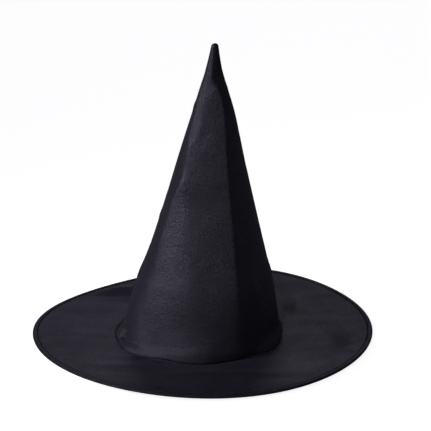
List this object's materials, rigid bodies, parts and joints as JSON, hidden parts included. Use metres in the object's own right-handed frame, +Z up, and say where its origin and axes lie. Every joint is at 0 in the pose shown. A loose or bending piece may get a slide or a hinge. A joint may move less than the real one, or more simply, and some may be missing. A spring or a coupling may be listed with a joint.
{
  "type": "witch hat",
  "caption": "Pointed black cloth costume hat: a tall, slightly leaning cone sewn to a flat round brim with a bound, hoop-stiffened edge.",
  "frame": {"origin": "centre of the brim, on the plane that the brim's edge rests on", "axes": "+Z up towards the tip, +Y towards the crown's back seam, the crown leans towards +X"},
  "size_m": [0.3799, 0.38, 0.34],
  "materials": {
    "shell_cloth": "black satin-faced polyester, crumpled from packing",
    "fleece": "black bonded non-woven stiffener",
    "thread": "spun polyester sewing thread",
    "spring_steel": "drawn wire, dull",
    "binding_tape": "folded woven tape, matt",
    "label_satin": "blank white satin"
  },
  "bodies": {
    "root": {"crown_shell": "shell_cloth", "brim_top_cloth": "shell_cloth", "brim_under_cloth": "shell_cloth", "crown_interlining": "fleece", "brim_interlining": "fleece", "crown_back_seam_thread": "thread", "edge_binding_thread": "thread", "crown_to_brim_seam_thread": "thread", "sweatband_thread": "thread", "brim_hoop_wire": "spring_steel", "hoop_joining_sleeve": "spring_steel", "edge_binding": "binding_tape", "sweatband_tape": "binding_tape", "care_label": "label_satin"}
  },
  "joints": []
}
